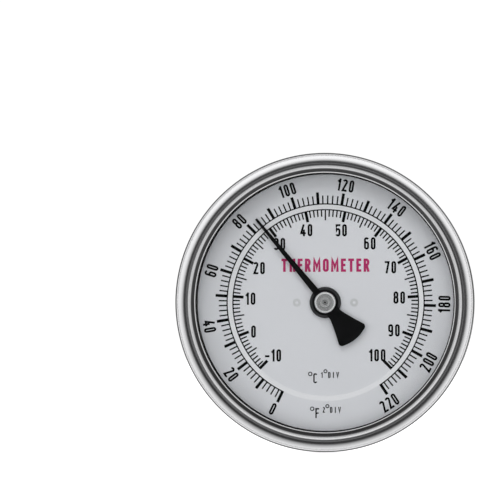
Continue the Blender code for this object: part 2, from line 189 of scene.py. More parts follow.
class Nodes:
    """Short calls for building a node tree."""

    def __init__(self, tree):
        self.tree = tree
        tree.nodes.clear()

    def add(self, kind, inputs=(), **settings):
        """A node with settings and with inputs given as values or as sockets."""
        node = self.tree.nodes.new(kind)
        for key, value in settings.items():
            setattr(node, key, value)
        for key, value in dict(inputs).items():
            if isinstance(value, bpy.types.NodeSocket):
                self.tree.links.new(value, node.inputs[key])
            else:
                node.inputs[key].default_value = value
        return node

    def math(self, operation, a, b=0.0, clamp=False):
        """The result of a math node."""
        return self.add("ShaderNodeMath", {0: a, 1: b}, operation=operation, use_clamp=clamp).outputs[0]

    def vector_math(self, operation, a, b=(0, 0, 0), output="Vector"):
        """The result of a vector math node."""
        return self.add("ShaderNodeVectorMath", {0: a, 1: b}, operation=operation).outputs[output]

    def remap(self, value, source, target=(0.0, 1.0)):
        """A value mapped from one range to another, and held inside it."""
        node = self.add("ShaderNodeMapRange", {
            "Value": value, "From Min": source[0], "From Max": source[1],
            "To Min": target[0], "To Max": target[1]})
        return node.outputs["Result"]

    def spread(self, value, low, high):
        """A 0 to 1 value mapped to a range."""
        return self.remap(value, (0.0, 1.0), (low, high))

    def ramp(self, factor, stops):
        """The colour of a ramp with (position, grey or colour) stops."""
        node = self.add("ShaderNodeValToRGB", {"Fac": factor})
        elements = node.color_ramp.elements
        for k, (position, value) in enumerate(stops):
            element = elements[k] if k < 2 else elements.new(position)
            element.position = position
            element.color = (value, value, value, 1) if isinstance(value, float) else (*value, 1)
        return node.outputs["Color"]

    def place(self):
        """The place on the thermometer, in metres."""
        return self.add("ShaderNodeTexCoord").outputs["Object"]

    def radius(self):
        """The distance from the thermometer's axis."""
        flat = self.vector_math("MULTIPLY", self.place(), (1, 0, 1))
        return self.vector_math("LENGTH", flat, output="Value")

    def grain(self, size, detail):
        """Noise with a grain of a size in mm."""
        node = self.add("ShaderNodeTexNoise", {
            "Vector": self.place(), "Scale": 1 / (size * MM), "Detail": detail})
        return node.outputs["Fac"]

    def turned_lines(self, pitch):
        """Noise that is constant round the axis, so that it draws fine turning lines of a pitch in mm."""
        parts = self.add("ShaderNodeSeparateXYZ", {0: self.place()}).outputs
        scale = 1 / (pitch * MM)
        spot = self.add("ShaderNodeCombineXYZ", {
            "X": self.math("MULTIPLY", self.radius(), scale),
            "Y": self.math("MULTIPLY", parts["Y"], scale)}).outputs[0]
        return self.add("ShaderNodeTexNoise", {"Vector": spot, "Scale": 1.0, "Detail": 3.0}).outputs["Fac"]

    def bump(self, height, strength, depth):
        """The normal of a relief with a depth in mm."""
        node = self.add("ShaderNodeBump", {"Height": height, "Strength": strength, "Distance": depth * MM})
        return node.outputs["Normal"]

    def finish(self, **inputs):
        """Sends a Principled shader to the surface output. An underscore in a name stands for a space."""
        named = {key.replace("_", " "): value for key, value in inputs.items()}
        shader = self.add("ShaderNodeBsdfPrincipled", named).outputs["BSDF"]
        self.add("ShaderNodeOutputMaterial", {"Surface": shader})


def new_material(name):
    """An empty node material."""
    material = bpy.data.materials.new(name)
    material.use_nodes = True
    return material, Nodes(material.node_tree)


def steel(name, tone, roughness, pitch, relief, turned=0.0, shade=None):
    """Stainless steel with fine turning lines. turned is how far its gloss is drawn out across them.

    shade lists (radius in mm, factor) of painted shade and reflection: rings where the colour is multiplied
    darker, standing in for dark reflections and shadow.
    """
    material, nodes = new_material(name)
    lines = nodes.turned_lines(pitch)
    cloud = nodes.grain(16.67, 3.0)
    colour = nodes.ramp(lines, [(0.25, tuple(c * 0.93 for c in tone)), (0.75, tone)])
    # Painted shade: the colour is multiplied darker in rings by radius, as the shade list gives.
    if shade:
        first, last = shade[0][0], shade[-1][0]
        along = nodes.remap(nodes.radius(), (first * MM, last * MM))
        painted_shade_rings = nodes.ramp(along, [((radius - first) / (last - first), factor) for radius, factor in shade])
        colour = nodes.add("ShaderNodeMix", {0: 1.0, 6: colour, 7: painted_shade_rings}, data_type="RGBA",
                           blend_type="MULTIPLY").outputs[2]
    rough = nodes.math("ADD", nodes.spread(lines, roughness - 0.05, roughness + 0.05),
                       nodes.spread(cloud, -0.03, 0.03))
    inputs = {"Base_Color": colour, "Metallic": 1.0, "Roughness": rough,
              "Normal": nodes.bump(lines, relief, 0.04)}
    if turned:
        inputs["Anisotropic"] = turned
        inputs["Tangent"] = nodes.add("ShaderNodeTangent", direction_type="RADIAL", axis="Y").outputs[0]
    nodes.finish(**inputs)
    return material


def weld_metal(name):
    """Smooth dressed weld, with the faint ripple of its passes and a straw tint."""
    material, nodes = new_material(name)
    ripple = nodes.grain(1.111, 2.0)
    colour = nodes.ramp(ripple, [(0.3, (0.58, 0.56, 0.52)), (0.7, (0.70, 0.69, 0.67))])
    nodes.finish(Base_Color=colour, Metallic=1.0, Roughness=nodes.spread(ripple, 0.2, 0.34),
                 Normal=nodes.bump(ripple, 0.35, 0.1))
    return material


def paint(name, colour, roughness, grain, gloss):
    """Paint or ink with a fine orange-peel grain of a size in mm. gloss is 0.5 for a full varnish."""
    material, nodes = new_material(name)
    noise = nodes.grain(grain, 3.0)
    shade = nodes.ramp(noise, [(0.3, tuple(c * 0.9 for c in colour)), (0.7, colour)])
    nodes.finish(Base_Color=shade, Roughness=nodes.spread(noise, roughness - 0.04, roughness + 0.04),
                 Specular_IOR_Level=gloss, Normal=nodes.bump(noise, 0.12, 0.03))
    return material


def dial_paint(name, edges):
    """The dial's silver-white paint, lighter in a band between two radii in mm, where the dial steps up."""
    material, nodes = new_material(name)
    radius = nodes.radius()
    soft = 0.12 * MM
    rise, fall = (nodes.remap(radius, (edge * MM - soft, edge * MM + soft)) for edge in edges)
    band = nodes.math("SUBTRACT", rise, fall, clamp=True)
    grain = nodes.grain(0.2, 2.0)
    plain = nodes.ramp(grain, [(0.3, (0.765, 0.77, 0.81)), (0.7, (0.795, 0.80, 0.84))])
    colour = nodes.add("ShaderNodeMix", {"Factor": band, 6: plain, 7: (0.88, 0.88, 0.91, 1)},
                       data_type="RGBA").outputs[2]
    nodes.finish(Base_Color=colour, Roughness=0.5, Normal=nodes.bump(grain, 0.08, 0.02))
    return material


def rubber(name):
    """Matte black rubber."""
    material, nodes = new_material(name)
    noise = nodes.grain(0.4, 4.0)
    colour = nodes.ramp(noise, [(0.3, (0.008, 0.008, 0.008)), (0.7, (0.02, 0.02, 0.02))])
    nodes.finish(Base_Color=colour, Roughness=0.8, Specular_IOR_Level=0.03,
                 Normal=nodes.bump(noise, 0.3, 0.05))
    return material


def brass(name):
    """Turned brass."""
    material, nodes = new_material(name)
    lines = nodes.turned_lines(0.15)
    colour = nodes.ramp(lines, [(0.3, (0.62, 0.44, 0.18)), (0.7, (0.78, 0.60, 0.29))])
    nodes.finish(Base_Color=colour, Metallic=1.0, Roughness=nodes.spread(lines, 0.25, 0.38),
                 Normal=nodes.bump(lines, 0.25, 0.04))
    return material


def glass(name):
    """Clear window glass."""
    material, nodes = new_material(name)
    nodes.finish(Base_Color=(0.985, 0.995, 0.99, 1), Roughness=0.0, IOR=1.5, Transmission_Weight=1.0)
    return material


SATIN = steel("satin_stainless", (0.60, 0.60, 0.61), 0.20, 0.16, 0.16, turned=0.3)
TUBE = steel("drawn_stainless", (0.60, 0.60, 0.61), 0.18, 0.30, 0.10)
# The bezel's shade list is painted reflection and shade: dark rings beside its beads, in its groove and on
# its outer edge stand in for the dark surround that the polished steel mirrors.
BEZEL = steel("polished_bezel", (0.74, 0.74, 0.75), 0.19, 0.22, 0.10, shade=[
    (35.9, 0.95), (36.3, 0.7), (36.55, 0.45), (36.9, 0.6), (37.2, 0.6), (37.5, 0.72), (37.9, 0.82),
    (38.1, 1.0), (38.25, 0.7), (38.4, 0.3), (38.7, 0.3), (38.9, 0.5), (39.2, 0.95), (39.4, 1.0),
    (41.0, 1.0), (41.2, 0.4), (41.485, 0.35), (41.495, 1.0)])
# The hub's shade list is painted shade and reflection: a black centre dimple and a turned face darkened
# inside its bright rim.
HUB = steel("turned_hub", (0.80, 0.80, 0.81), 0.27, 0.12, 0.2, turned=0.7, shade=[
    (0.0, 0.03), (0.28, 0.03), (0.38, 0.5), (0.7, 0.38), (1.2, 0.46), (1.7, 0.36), (2.3, 0.42),
    (2.55, 0.95), (3.0, 1.0)])
TURNED = steel("turned_steel", (0.66, 0.66, 0.67), 0.22, 0.10, 0.7, turned=0.5)
SPRING = steel("spring_steel", (0.42, 0.43, 0.45), 0.33, 0.25, 0.2)
WELD = weld_metal("weld_steel")
BRASS = brass("turned_brass")
RUBBER = rubber("black_rubber")
GLASS = glass("window_glass")
BLACK = paint("pointer_black", (0.005, 0.005, 0.0055), 0.55, 0.15, 0.03)
COLLAR = paint("collar_grey", (0.035, 0.036, 0.038), 0.4, 0.15, 0.2)
# The rivets' silver is a little darker than the dial's: painted shade that stands in for the shading of their
# low domes.
RIVET_SHADED_PAINT = paint("rivet_silver_painted_shade", (0.68, 0.69, 0.71), 0.45, 0.2, 0.4)
INK = paint("black_ink", (0.005, 0.005, 0.005), 0.6, 0.2, 0.03)
RED_INK = paint("red_ink", (0.52, 0.042, 0.16), 0.55, 0.2, 0.1)


def place_piece(piece, body, *nodes, slot=None):
    """Rides a piece on a body and stands it for its CAD nodes. The slot argument is not used."""
    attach(piece, body)
    if nodes:
        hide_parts(*nodes)
    return piece


# ---------------------------------------------------------------- case and bezel

def make_bezel():
    """The polished bezel: outer bead, dark groove, second bead and the thin edge round the window."""
    outer, rear, front = span("bezel_ring")
    under = span("lens")[2] + 0.3
    opening = 36.0
    bore = outer - 0.8
    hook = span("rear_case")[0] - 0.7
    lip_rear = span("rear_case")[2] - 0.8 - 0.3
    crest, inner_bow, groove, second, brim = 40.9, 3.2, 38.62, 37.625, 36.26
    slope = math.radians(37)
    bead = arc((crest, front - 0.5), (outer - crest, 0.5), 0, 90, 16)
    bead += arc((crest, front - inner_bow), (inner_bow, inner_bow), 90, 90 + math.degrees(slope), 16)[1:]
    valley = bead[-1][1] - (bead[-1][0] - groove) * math.tan(slope)
    outline = bead + rounded([
        (*bead[-1], 0), (groove, valley, 0.08), (second, valley + 0.70, 1.0), (brim, valley - 0.28, 0.06),
        (opening, valley - 0.30, 0.1), (opening, under, 0.05), (bore, under, 0.1), (bore, lip_rear, 0.1),
        (hook, lip_rear, 0.1), (hook, rear + 0.25, 0.2), (hook + 0.42, rear + 0.02, 0.18),
        (hook + 0.55, rear + 0.22, 0.08), (hook + 0.72, rear, 0.12), (outer - 0.7, rear, 0),
        (outer - 0.2, rear + 0.2, 0), (outer, rear + 0.7, 0)], closed=False, steps=12)[1:]
    place_piece(lathe("bezel", outline, BEZEL), "case", "bezel_ring", slot="polished_stainless")


def make_case():
    """The stepped cup with its fine steps, waist groove and rolled flange."""
    lip, rear, front = span("rear_case")
    bore = span("neck_tube")[0] - 1.0
    sheet = 0.8
    plate, upper, lower, hollow, mouth = 33.4, 34.9, 36.8, 36.6, 36.15
    curl_in, curl_out = 37.8, 39.3
    step, waist, curl = rear + 4.4, rear + 9.7, rear + 12.1
    lip_rear = front - sheet
    outside = [
        (bore, rear, 0), (plate, rear, 0.9), (upper - 0.45, rear + 0.5, 0.7), (upper, rear + 1.6, 1.2),
        (upper, step - 0.15, 0.1), (upper - 0.12, step, 0.05), (upper + 0.05, step + 0.12, 0.1),
        (lower, step + 1.6, 1.6), (lower, waist - 0.12, 0.15), (lower - 0.15, waist, 0.05),
        (hollow - 0.3, waist + 0.15, 0.1), (hollow, waist + 0.5, 0.2), (hollow, lip_rear, 0.3),
        (curl_in, lip_rear, 0.3), (curl_in, curl + 0.3, 0.3), (curl_in + 0.4, curl, 0.3),
        (curl_out - 0.3, curl, 0.3), (curl_out, curl + 0.35, 0.3), (curl_out, lip_rear, 0.1),
        (lip, lip_rear, 0.05), (lip, front, 0.1)]
    inside = [
        (mouth, front, 0.1), (mouth, step + 2.2, 0.3), (upper - sheet, step + 0.6, 0.5),
        (upper - sheet, rear + 1.8, 0.5), (plate - 0.2, rear + sheet, 0.3), (bore, rear + sheet, 0)]
    case = lathe("case_cup", rounded(outside + inside), SATIN)
    low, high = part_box("calibration_pinion")
    screw_place = ((low.x + high.x) / 2 / MM, (low.z + high.z) / 2 / MM)
    screw_hole = circle(1.9, 48)
    cutter = prism("screw_hole", screw_hole, [], rear - 1, rear + sheet + 1, SATIN, screw_place)
    carve(case, "DIFFERENCE", cutter)
    place_piece(case, "case", "rear_case", slot="satin_stainless")


def make_window():
    """The flat glass with ground edges, and the gasket behind it."""
    radius, rear, front = span("lens")
    outline = rounded([
        (0, front, 0), (radius, front, 0.25), (radius, rear, 0.25), (0, rear, 0)], closed=False)
    window = place_piece(lathe("window", outline, GLASS), "case", "lens", slot="window_glass")
    window.visible_shadow = False
    radius, rear, front = span("window_gasket")
    inner = 35.7
    outline = rounded([(inner, front, 0.3), (radius, front, 0.3), (radius, rear, 0.3), (inner, rear, 0.3)])
    place_piece(lathe("gasket", outline, RUBBER), "case", "window_gasket", slot="black_rubber")


# ---------------------------------------------------------------- neck, flange and stem

def make_flange():
    """The clamp flange with its rounded gasket groove and tapered back. Its front is the sealing face."""
    outer, front, rear = span("flange")
    rim = 2.85
    taper_r = outer - (rear - rim) / math.tan(math.radians(20))
    groove_r, groove_half, groove_depth = 21.75, 1.75, 1.5
    bottom = [(groove_r + groove_half * math.cos(a), front + groove_depth * math.sin(a))
              for a in (math.pi * k / 16 for k in range(1, 16))]
    hole = span("stem_tube")[0] + 0.3
    recess_r, recess = 4.8, 0.3
    body = rounded([
        (hole, rear, 0), (taper_r, rear, 1.2), (outer, rim, 0.35), (outer, front, 0.3),
        (groove_r + groove_half, front, 0.15)], closed=False)
    inside = rounded([
        (groove_r - groove_half, front, 0.15), (recess_r, front, 0.05), (recess_r, front + recess, 0.1),
        (hole, front + recess, 0)], closed=False)
    flange = lathe("clamp_flange", body + bottom + inside, SATIN)
    place_piece(flange, "case", "flange", slot="satin_stainless")


def make_tubes():
    """The neck tube and the stem with its rounded, welded tip."""
    radius, rear, front = span("neck_tube")
    outline = [(radius - 1.0, front), (radius, front), (radius, rear), (radius - 1.0, rear)]
    place_piece(lathe("neck", outline, TUBE, SMALL_SEGMENTS), "case", "neck_tube", slot="satin_stainless")
    radius, tip, front = span("stem_tube")
    outline = rounded([
        (radius - 0.5, front, 0), (radius, front, 0), (radius, tip, 0.12), (radius - 0.5, tip, 0)])
    place_piece(lathe("stem", outline, TUBE, SMALL_SEGMENTS), "case", "stem_tube", slot="satin_stainless")
    radius, tip, front = span("stem_end_plug")
    outline = rounded([
        (0, front, 0), (radius - 0.8, front, 0.1), (radius - 0.8, tip + 1.05, 0),
        (radius, tip + 1.05, 0.12), (radius, tip, 0.75), (radius * 0.62, tip, 0.1),
        (radius * 0.57, tip + 0.12, 0.08), (radius * 0.52, tip, 0.1), (0, tip, 0)], closed=False)
    plug = lathe("stem_tip", outline, WELD, SMALL_SEGMENTS)
    place_piece(plug, "case", "stem_end_plug", slot="weld_steel")


def make_welds():
    """The weld beads, each a soft fillet round its tube."""
    for node, name, tube, foot_ahead in (("stem_weld_ring", "stem_weld", "stem_tube", True),
                                         ("neck_weld_case", "case_weld", "neck_tube", True),
                                         ("neck_weld_flange", "flange_weld", "neck_tube", False)):
        radius, rear, front = span(node)
        inner = span(tube)[0] + 0.02
        foot, top = (front, rear) if foot_ahead else (rear, front)
        lean = foot + (top - foot) * 0.55
        outline = rounded([
            (inner, foot, 0), (radius, foot, 0.08), (radius - 0.08, lean, 0.3), (inner + 0.12, top, 0.25),
            (inner, top, 0)])
        place_piece(lathe(name, outline, WELD, SMALL_SEGMENTS), "case", node, slot="weld_steel")


def make_screw():
    """The slotted hexagon screw with its chamfered crown."""
    low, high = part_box("calibration_screw")
    place = (0, (low.z + high.z) / 2 / MM)
    top, end = -high.y / MM, -low.y / MM
    flats = high.x / MM
    corner = flats / math.cos(math.pi / 6)
    head_rear = span("rear_case")[1] - 0.3
    recess = head_rear - 0.9
    outline = rounded([
        (0, top, 0), (2.2, top, 0.4), (corner, top + 0.85, 0.1), (corner, head_rear, 0.05),
        (2.75, head_rear, 0), (2.75, recess, 0), (1.6, recess, 0), (1.6, end, 0.2), (0, end, 0)],
        closed=False)
    screw = lathe("rear_screw", outline, TURNED, SMALL_SEGMENTS, place)
    hexagon = [(corner * math.sin(k * math.pi / 3), corner * math.cos(k * math.pi / 3)) for k in range(6)]
    slit = [(-6, -0.45), (6, -0.45), (6, 0.45), (-6, 0.45)]
    hexagon_tool = prism("screw_flats", hexagon, [], top - 1, end + 1, TURNED, place)
    slit_tool = prism("screw_slot", slit, [], top - 1, top + 0.95, TURNED, place)
    carve(screw, "INTERSECT", hexagon_tool)
    carve(screw, "DIFFERENCE", slit_tool)
    bevel(screw, 0.06, 2)
    place_piece(screw, "calibration_screw", "calibration_screw", slot="turned_steel")


# ---------------------------------------------------------------- dial

DIAL_OUTER, DIAL_REAR, DIAL_FRONT = span("dial_plate")
DIAL_STEP = 0.4
DIAL_FACE = DIAL_FRONT - DIAL_STEP
STEP_R = (26.1, 27.3)
INK_HEIGHT, INK_STEP = 0.03, 0.004
NUMBER_HEIGHT, NUMBER_WEIGHT = 3.42, 0.16


def make_dial():
    """The formed dial plate, its middle set back, and the two rivets painted over with it, in a slightly
    darker silver that is painted shade for their low domes.
    """
    coat = dial_paint("dial_silver", (26.0, 27.45))
    hole, rear = 2.2, DIAL_REAR
    outline = rounded([
        (hole, DIAL_FACE, 0.1), (STEP_R[0], DIAL_FACE, 0.8), (STEP_R[1], DIAL_FRONT, 0.8),
        (DIAL_OUTER, DIAL_FRONT, 0.08), (DIAL_OUTER, DIAL_FACE, 0.08), (STEP_R[1] + 0.2, DIAL_FACE, 0.8),
        (STEP_R[0] + 0.2, rear, 0.8), (hole, rear, 0.1)])
    place_piece(lathe("dial", outline, coat), "dial", "dial_plate", slot="dial_silver")
    for node in ("dial_rivet_left", "dial_rivet_right"):
        low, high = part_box(node)
        place = ((low.x + high.x) / 2 / MM, 0)
        tail, head = -high.y / MM, -low.y / MM
        shank, flare = 0.55, 1.1
        outline = rounded([
            (0, head - 0.10, 0), (0.35, head - 0.10, 0.1), (0.6, head, 0.15), (1.15, DIAL_FACE + 0.02, 0.2),
            (1.15, DIAL_FACE, 0), (shank, DIAL_FACE, 0), (shank, tail + 0.5, 0), (flare, tail + 0.5, 0.1),
            (flare, tail, 0.2), (0, tail, 0)], closed=False)
        rivet = lathe(f"{node}_head", outline, RIVET_SHADED_PAINT, 48, place)
        place_piece(rivet, "dial", node, slot="dial_silver")


# Stroke letters. Each is drawn on a grid from 0 to 1 in both directions between stroke middles.
BOWL = 0.15
STRAIGHT = 0.14    # an open end whose last run is longer than this, in heights, gets half a stroke more


def bow(cx, cy, rx, ry, first, last):
    """An arc of a letter."""
    return arc((cx, cy), (rx, ry), first, last, max(4, int(abs(last - first) / 15)))


def letter_strokes(letter):
    """(width in letter heights, strokes) of a letter. A stroke that ends where it starts is closed."""
    b = BOWL
    top = bow(0.5, 1 - b, 0.5, b, 180, 0)
    bottom = bow(0.5, b, 0.5, b, 0, -180)
    shapes = {
        "0": (0.38, [top + bottom + [top[0]]]),
        "1": (0.27, [[(1, 0), (1, 1)], [(1, 0.99), (0.0, 0.84)]]),
        "2": (0.41, [bow(0.5, 1 - b, 0.5, b, 170, -20) + [(0.0, 0.0), (1.0, 0.0)]]),
        "3": (0.41, [bow(0.5, 1 - b, 0.5, b, 165, 0) + bow(0.45, 0.66, 0.55, 0.13, 0, -90) + [(0.3, 0.53)],
                     [(0.3, 0.53)] + bow(0.45, 0.38, 0.55, 0.15, 90, 0) + bow(0.5, b, 0.5, b, 0, -165)]),
        "4": (0.46, [[(0.62, 0.97), (0.0, 0.20), (1.0, 0.20)], [(0.74, 0.46), (0.74, 0)]]),
        "5": (0.41, [[(1.0, 1.0), (0.06, 1.0), (0.04, 0.50)] + bow(0.5, 0.47, 0.5, b, 150, 0)
                     + bow(0.5, b, 0.5, b, 0, -165)]),
        "6": (0.41, [bow(0.5, 1 - b, 0.5, b, 20, 180) + bow(0.5, b, 0.5, b, 180, 360)
                     + bow(0.5, 0.45, 0.5, b, 0, 170)]),
        "7": (0.40, [[(0, 1.0), (1.0, 1.0), (0.35, 0)]]),
        "8": (0.41, [bow(0.5, 1 - b, 0.46, b, 0, 180) + bow(0.5, 0.53 + b, 0.46, b, 180, 360)
                     + [(0.96, 1 - b)],
                     bow(0.5, 0.53 - b, 0.5, b, 0, 180) + bow(0.5, b, 0.5, b, 180, 360)
                     + [(1.0, 0.53 - b)]]),
        "9": (0.41, [bow(0.5, b, 0.5, b, 200, 360) + bow(0.5, 1 - b, 0.5, b, 0, 180)
                     + bow(0.5, 0.55, 0.5, b, 180, 350)]),
        "-": (0.37, [[(0.0, 0.42), (1.0, 0.42)]]),
        "C": (0.40, [bow(0.5, 1 - b, 0.5, b, 15, 180) + bow(0.5, b, 0.5, b, 180, 345)]),
        "D": (0.41, [[(0, 0), (0, 1), (0.45, 1)] + bow(0.45, 0.8, 0.55, 0.2, 90, 0)
                     + bow(0.45, 0.2, 0.55, 0.2, 0, -90) + [(0, 0)]]),
        "E": (0.38, [[(1, 1), (0, 1), (0, 0), (1, 0)], [(0, 0.52), (0.8, 0.52)]]),
        "F": (0.37, [[(1, 1), (0, 1), (0, 0)], [(0, 0.50), (0.8, 0.50)]]),
        "H": (0.44, [[(0, 0), (0, 1)], [(1, 0), (1, 1)], [(0, 0.52), (1, 0.52)]]),
        "I": (0.17, [[(0.5, 0), (0.5, 1)]]),
        "M": (0.58, [[(0, 0), (0, 1), (0.5, 0.3), (1, 1), (1, 0)]]),
        "O": (0.44, [top + bottom + [top[0]]]),
        "R": (0.44, [[(0, 0), (0, 1), (0.5, 1)] + bow(0.5, 0.76, 0.5, 0.24, 90, -90) + [(0, 0.52)],
                     [(0.5, 0.52), (1.0, 0)]]),
        "T": (0.44, [[(0, 1), (1, 1)], [(0.5, 1), (0.5, 0)]]),
        "V": (0.46, [[(0, 1), (0.5, 0), (1, 1)]]),
    }
    return shapes[letter]


def run_on(line, least, extra):
    """Lengthens a stroke's end where its last run is longer than a given length."""
    run = Vector(line[-1]) - Vector(line[-2])
    if run.length <= least:
        return line
    return line[:-1] + [tuple(Vector(line[-1]) + run.normalized() * extra)]


def ink_patch(bm, loop, t, height):
    """A closed flat patch of ink over a loop of points, from the paint at t up to its height."""
    foot, top = ([bm.verts.new((*point, level)) for point in loop] for level in (t, t + height))
    bm.faces.new(top)
    bm.faces.new(foot[::-1])
    for k in range(len(loop)):
        bm.faces.new((foot[k - 1], foot[k], top[k], top[k - 1]))


def ribbon(bm, points, width, place, t, height):
    """A stroke of ink along a line of points, mitred at its corners and laid by the place function."""
    closed = (Vector(points[0]) - Vector(points[-1])).length < 1e-6
    line = [Vector(p) for p in (points[:-1] if closed else points)]
    line = [p for k, p in enumerate(line) if k == 0 or (p - line[k - 1]).length > 1e-6]
    count = len(line)
    sides = []
    for k, here in enumerate(line):
        back = here - line[k - 1] if closed or k > 0 else line[1] - here
        ahead = line[(k + 1) % count] - here if closed or k < count - 1 else back
        back, ahead = back.normalized(), ahead.normalized()
        across = Vector((-(back + ahead).y, (back + ahead).x)).normalized()
        stretch = 1 / max(0.35, across.dot(Vector((-ahead.y, ahead.x))))
        side = across * (width / 2 * stretch)
        sides.append((place(here + side), place(here - side)))
    rows = [[bm.verts.new((*point, level)) for level, point in
             ((t, left), (t + height, left), (t + height, right), (t, right))] for left, right in sides]
    links = list(zip(rows, rows[1:])) + ([(rows[-1], rows[0])] if closed else [])
    for first, second in links:
        for k in range(4):
            bm.faces.new((first[k - 1], first[k], second[k], second[k - 1]))
    if not closed:
        bm.faces.new(rows[0])
        bm.faces.new(rows[-1][::-1])


def text_width(text, gap):
    """A line's width in letter heights."""
    return sum(letter_strokes(letter)[0] + gap for letter in text) - gap


def write(bm, text, centre, height, t, turn=0.0, weight=NUMBER_WEIGHT, gap=0.15):
    """A line of stroke letters about its centre, turned clockwise from upright."""
    pen = -text_width(text, gap) / 2
    for letter in text:
        width, strokes = letter_strokes(letter)
        for layer, stroke in enumerate(strokes):
            drawn = [((pen + weight / 2 + x * (width - weight)) * height,
                      (weight / 2 + y * (1 - weight) - 0.5) * height) for x, y in stroke]
            if stroke[0] != stroke[-1]:
                for _ in range(2):
                    drawn = run_on(drawn, STRAIGHT * height, weight / 2 * height)[::-1]

            def place(p):
                return (centre[0] + p.x * math.cos(turn) + p.y * math.sin(turn),
                        centre[1] - p.x * math.sin(turn) + p.y * math.cos(turn))

            ribbon(bm, drawn, weight * height, place, t, INK_HEIGHT + layer * INK_STEP)
        pen += width + gap


def on_dial(radius, angle):
    """A point on the dial at an angle clockwise from 12 o'clock."""
    return radius * math.sin(angle), radius * math.cos(angle)


def tick(bm, angle, inner, outer, width, t, shift=0.0):
    """A radial tick. shift moves it sideways, clockwise."""
    along, across = Vector(on_dial(1, angle)), Vector(on_dial(1, angle + math.pi / 2))
    corners = [along * r + across * (s * width / 2 + shift) for r, s in
               ((inner, -1), (inner, 1), (outer, 1), (outer, -1))]
    ink_patch(bm, corners, t, INK_HEIGHT)


def arc_line(bm, radius, width, first, last, t):
    """A line along the scale, from one angle to another."""
    steps = 180
    line = [on_dial(radius, first + (last - first) * k / steps) for k in range(steps + 1)]
    ribbon(bm, line, width, tuple, t, INK_HEIGHT + INK_STEP)


ARC_PER_F = math.radians(1.3685)
UPRIGHT_F = 113
THICK, THIN, LINE = 0.80, 0.38, 0.33

# degrees that a Fahrenheit number stands clockwise of its tick, where they aren't 0
FAHRENHEIT_ASIDE = {0: 1.0, 40: -1.6, 60: -1.8, 80: -1.5, 100: -0.9, 120: 0.3, 180: -0.8, 200: 1.0,
                    220: 1.1}
# a Celsius number's radius and the degrees that it stands clockwise of its tick, and the usual ones
CELSIUS_PLACES = {-10: (20.8, 0.3), 0: (21.7, -1.1), 10: (21.0, -0.8), 20: (20.9, -1.0),
                  30: (20.8, -1.2), 40: (20.9, -2.5), 90: (20.6, 1.3)}
CELSIUS_PLACE = (20.6, 0)


def angle_f(degrees_f):
    """The scale's angle clockwise from 12 o'clock for degrees Fahrenheit."""
    return (degrees_f - UPRIGHT_F) * ARC_PER_F


def angle_c(degrees_c):
    """The scale's angle for degrees Celsius."""
    return angle_f(degrees_c * 1.8 + 32)


def make_fahrenheit_scale():
    """The outer scale: 0 to 220, a tick each 2 degrees, numbers each 20 that follow the rim."""
    t = DIAL_FRONT
    line_r, foot_r, thin_r, thick_r, number_r = 27.5, 27.4, 29.85, 30.8, 33.1
    bm = bmesh.new()
    half = THIN / 2 / line_r
    arc_line(bm, line_r, LINE, angle_f(0) - half, angle_f(220) + half, t)
    for degrees in range(0, 222, 2):
        major = degrees % 10 == 0
        end_shift = (degrees == 0) - (degrees == 220)
        tick(bm, angle_f(degrees), foot_r, thick_r if major else thin_r, THICK if major else THIN, t,
             end_shift * (THICK - THIN) / 2)
    for degrees in range(0, 240, 20):
        angle = angle_f(degrees)
        outward = abs(angle) <= math.pi / 2
        spot = on_dial(number_r, angle + math.radians(FAHRENHEIT_ASIDE.get(degrees, 0)))
        write(bm, str(degrees), spot, NUMBER_HEIGHT, t, angle if outward else angle + math.pi)
    return add_mesh("fahrenheit_scale", bm, INK)


def make_celsius_scale():
    """The inner scale: -10 to 100, a tick each degree, upright numbers each 10."""
    t = DIAL_FACE
    line_r, foot_r, short_r, long_r = 25.9, 26.0, 23.95, 22.95
    bm = bmesh.new()
    half = THIN / 2 / line_r
    arc_line(bm, line_r, LINE, angle_c(-10) - half, angle_c(100) + half, t)
    for degrees in range(-10, 101):
        major, middle = degrees % 10 == 0, degrees % 5 == 0
        end_shift = (degrees == -10) - (degrees == 100)
        tick(bm, angle_c(degrees), long_r if middle else short_r, foot_r, THICK if major else THIN, t,
             end_shift * (THICK - THIN) / 2)
    for degrees in range(-10, 110, 10):
        radius, aside = CELSIUS_PLACES.get(degrees, CELSIUS_PLACE)
        spot = on_dial(radius, angle_c(degrees) + math.radians(aside))
        write(bm, str(degrees), spot, NUMBER_HEIGHT, t)
    return add_mesh("celsius_scale", bm, INK)


def unit_sign(bm, letter, step, centre, t):
    """A degree ring with the scale's letter, and beside it the worth of one division."""
    x, y = centre
    texts = (((0, 0), letter, 2.8, 0.14, 0), ((1.85, 0.9), step, 1.55, 0.17, 0),
             ((5.1, 0.9), "DIV", 1.65, 0.17, 0.40))
    for spot, text, height, weight, gap in texts:
        write(bm, text, (x + spot[0], y + spot[1]), height, t, weight=weight, gap=gap)
    for spot, radius in (((-1.4, 1.2), 0.48), ((2.85, 1.95), 0.43)):
        ring = circle(radius, 24, (x + spot[0], y + spot[1]))
        ribbon(bm, ring + ring[:1], 0.26, tuple, t, INK_HEIGHT)


def make_words():
    """The unit signs with their divisions, and one plain word above the hub."""
    bm = bmesh.new()
    unit_sign(bm, "C", "1", (-2.85, -21.1), DIAL_FACE)
    unit_sign(bm, "F", "2", (-2.3, -30.8), DIAL_FRONT)
    marks = add_mesh("unit_marks", bm, INK)
    bm = bmesh.new()
    write(bm, "THERMOMETER", (0, 10.4), 3.7, DIAL_FACE, weight=0.19, gap=0.17)
    return marks, add_mesh("dial_word", bm, RED_INK)


# ---------------------------------------------------------------- pointer

REST_F = 84
EYE_R = 1.05         # the hole through the blade and the boss, and into the hub


